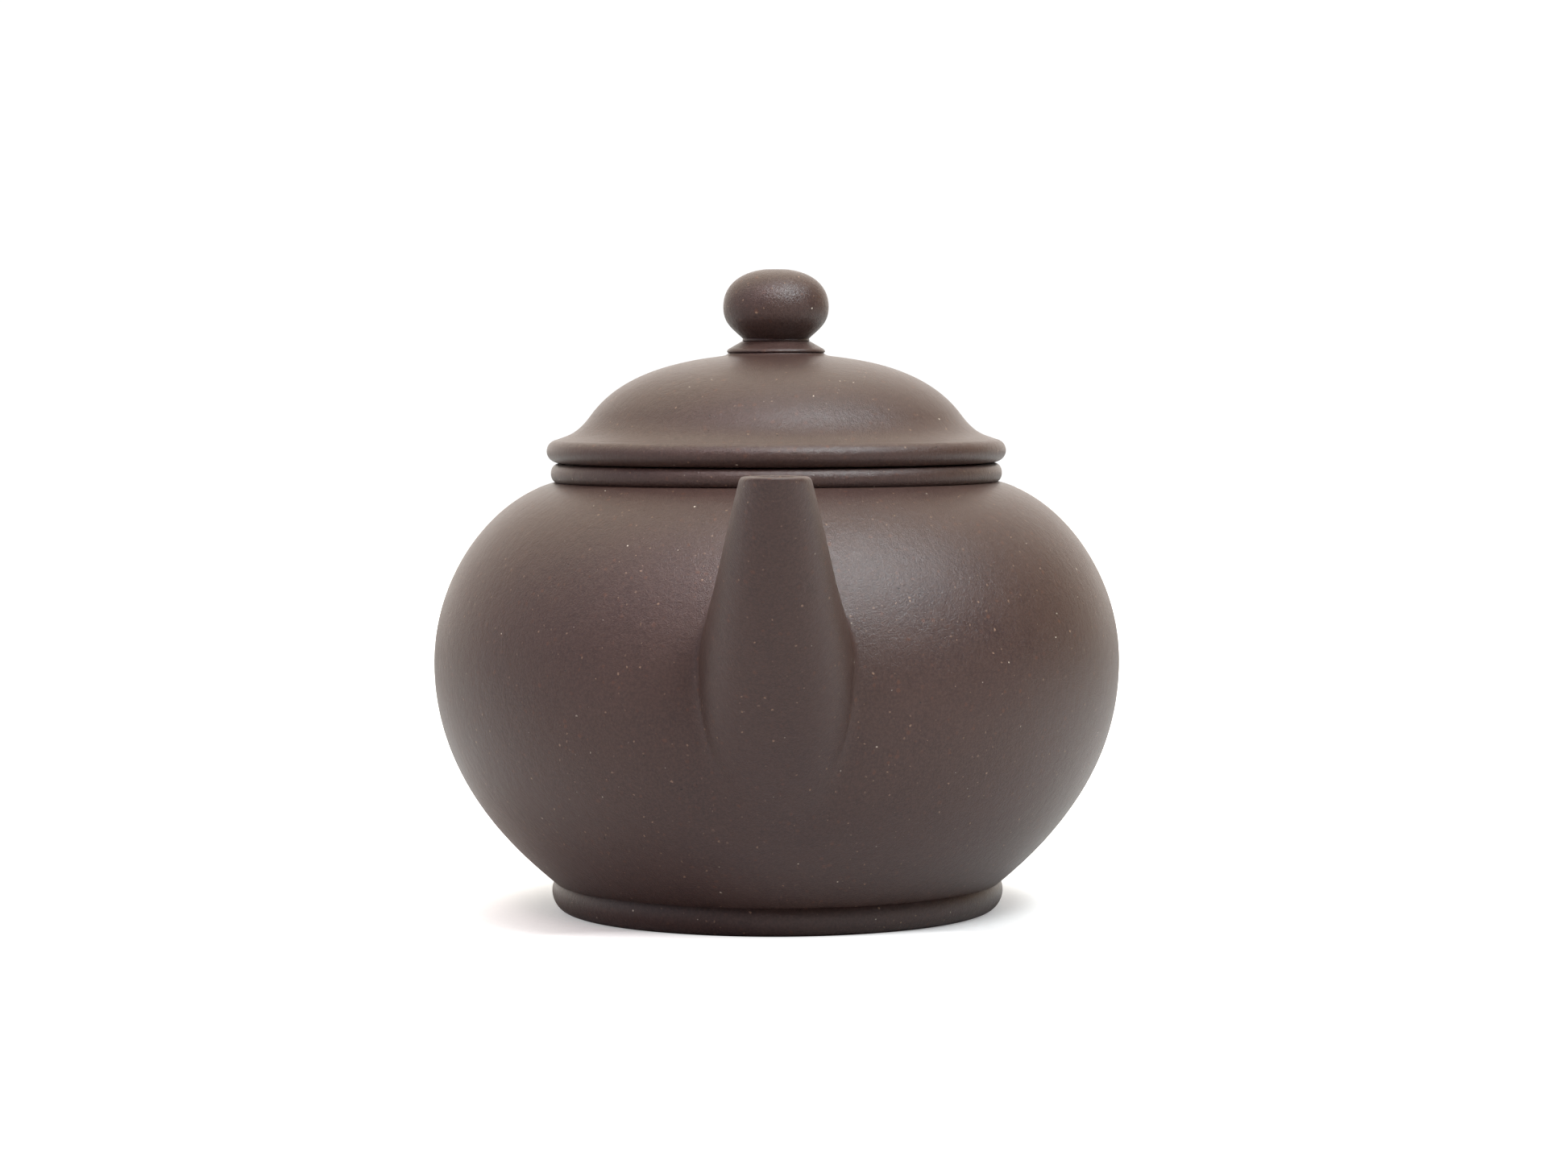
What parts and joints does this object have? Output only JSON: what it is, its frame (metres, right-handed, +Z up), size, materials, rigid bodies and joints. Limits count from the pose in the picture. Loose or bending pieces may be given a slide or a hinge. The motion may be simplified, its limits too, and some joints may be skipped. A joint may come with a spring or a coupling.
{
  "type": "teapot",
  "caption": "Small round unglazed clay teapot with a straight spout, a loop handle and a lift-off domed lid with a ball knob.",
  "frame": {"origin": "centre of the foot's resting ring, on the surface that the pot stands on, on the body's turning axis", "axes": "+Z up along the turning axis of the body and lid, spout towards -Y, handle towards +Y, +X to the right seen from the spout"},
  "size_m": [0.08, 0.1212, 0.0749],
  "materials": {
    "clay": "satin",
    "lid_clay": "satin"
  },
  "bodies": {
    "pot": {"base_disc": "clay", "foot_ring": "clay", "belly_wall": "clay", "shoulder_disc": "clay", "mouth_ring": "clay", "spout": "clay", "strainer": "clay", "handle": "clay"},
    "lid_seat": {"lid_flange": "lid_clay"},
    "lid": {"lid_rim": "lid_clay", "lid_dome": "lid_clay", "knob_pad": "lid_clay", "knob": "lid_clay"}
  },
  "joints": [
    {"name": "lid_lift", "type": "slide", "parent": "pot", "child": "lid_seat", "axis": [0, 0, 1], "range_m": [0, 0.055]},
    {"name": "lid_turn", "type": "hinge", "parent": "lid_seat", "child": "lid", "pos_m": [0, 0, 0.05235], "axis": [0, 0, 1], "continuous": true}
  ]
}
